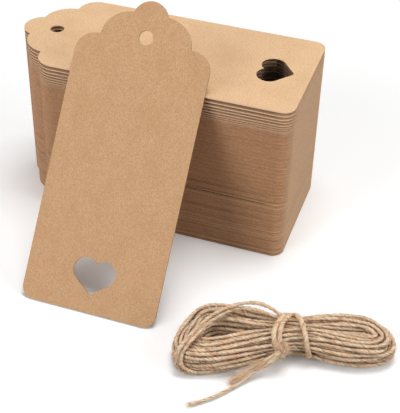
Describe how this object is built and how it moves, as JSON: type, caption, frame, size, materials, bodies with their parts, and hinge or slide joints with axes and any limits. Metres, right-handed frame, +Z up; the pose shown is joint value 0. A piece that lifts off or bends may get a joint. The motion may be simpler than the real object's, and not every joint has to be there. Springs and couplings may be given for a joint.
{
  "type": "gift tag set",
  "caption": "Pile of die-cut kraft gift tags with scalloped ends, string holes and heart cut-outs, one tag leaning on the pile, and a tied hank of jute twine.",
  "frame": {"origin": "middle of the pile's underside, on the surface that the set lies on", "axes": "+X along the tags from the string hole to the heart end, +Y from the leaning tag to the pile, +Z up"},
  "size_m": [0.1428, 0.1171, 0.0781],
  "materials": {
    "kraft_card": "uncoated brown kraft card",
    "jute_twine": "natural jute fibre"
  },
  "bodies": {
    "pile": {"bundle_1": "kraft_card", "bundle_2": "kraft_card", "bundle_3": "kraft_card", "bundle_4": "kraft_card", "bundle_5": "kraft_card", "bundle_6": "kraft_card", "bundle_7": "kraft_card", "bundle_8": "kraft_card", "bundle_9": "kraft_card"},
    "loose_tag_1": {"loose_tag_1": "kraft_card"},
    "loose_tag_2": {"loose_tag_2": "kraft_card"},
    "loose_tag_3": {"loose_tag_3": "kraft_card"},
    "loose_tag_4": {"loose_tag_4": "kraft_card"},
    "loose_tag_5": {"loose_tag_5": "kraft_card"},
    "loose_tag_6": {"loose_tag_6": "kraft_card"},
    "loose_tag_7": {"loose_tag_7": "kraft_card"},
    "loose_tag_8": {"loose_tag_8": "kraft_card"},
    "loose_tag_9": {"loose_tag_9": "kraft_card"},
    "leaning_tag": {"leaning_tag": "kraft_card"},
    "twine": {"twine_hank": "jute_twine", "twine_tie": "jute_twine", "tie_knot": "jute_twine", "long_tail": "jute_twine", "short_tail": "jute_twine"}
  },
  "joints": [
    {"name": "loose_tag_9_fan", "type": "hinge", "parent": "pile", "child": "loose_tag_9", "pos_m": [-0.0381, 0, 0.055], "axis": [0, 0, 1], "range_deg": [0, 10]},
    {"name": "loose_tag_8_fan", "type": "hinge", "parent": "loose_tag_9", "child": "loose_tag_8", "pos_m": [-0.0381, 0, 0.055], "axis": [0, 0, 1], "range_deg": [0, 10]},
    {"name": "loose_tag_7_fan", "type": "hinge", "parent": "loose_tag_8", "child": "loose_tag_7", "pos_m": [-0.0381, 0, 0.055], "axis": [0, 0, 1], "range_deg": [0, 10]},
    {"name": "loose_tag_6_fan", "type": "hinge", "parent": "loose_tag_7", "child": "loose_tag_6", "pos_m": [-0.0381, 0, 0.055], "axis": [0, 0, 1], "range_deg": [0, 10]},
    {"name": "loose_tag_5_fan", "type": "hinge", "parent": "loose_tag_6", "child": "loose_tag_5", "pos_m": [-0.0381, 0, 0.055], "axis": [0, 0, 1], "range_deg": [0, 10]},
    {"name": "loose_tag_4_fan", "type": "hinge", "parent": "loose_tag_5", "child": "loose_tag_4", "pos_m": [-0.0381, 0, 0.055], "axis": [0, 0, 1], "range_deg": [0, 10]},
    {"name": "loose_tag_3_fan", "type": "hinge", "parent": "loose_tag_4", "child": "loose_tag_3", "pos_m": [-0.0381, 0, 0.055], "axis": [0, 0, 1], "range_deg": [0, 10]},
    {"name": "loose_tag_2_fan", "type": "hinge", "parent": "loose_tag_3", "child": "loose_tag_2", "pos_m": [-0.0381, 0, 0.055], "axis": [0, 0, 1], "range_deg": [0, 10]},
    {"name": "loose_tag_1_fan", "type": "hinge", "parent": "loose_tag_2", "child": "loose_tag_1", "pos_m": [-0.0381, 0, 0.055], "axis": [0, 0, 1], "range_deg": [0, 10]},
    {"name": "leaning_tag_tip", "type": "hinge", "parent": "pile", "child": "leaning_tag", "pos_m": [-0.0006, -0.06886, 0.00031], "axis": [1, 0, 0], "range_deg": [0, 128]},
    {"name": "twine_lift", "type": "slide", "parent": "pile", "child": "twine", "axis": [0, 0, 1], "range_m": [0, 0.08]}
  ]
}
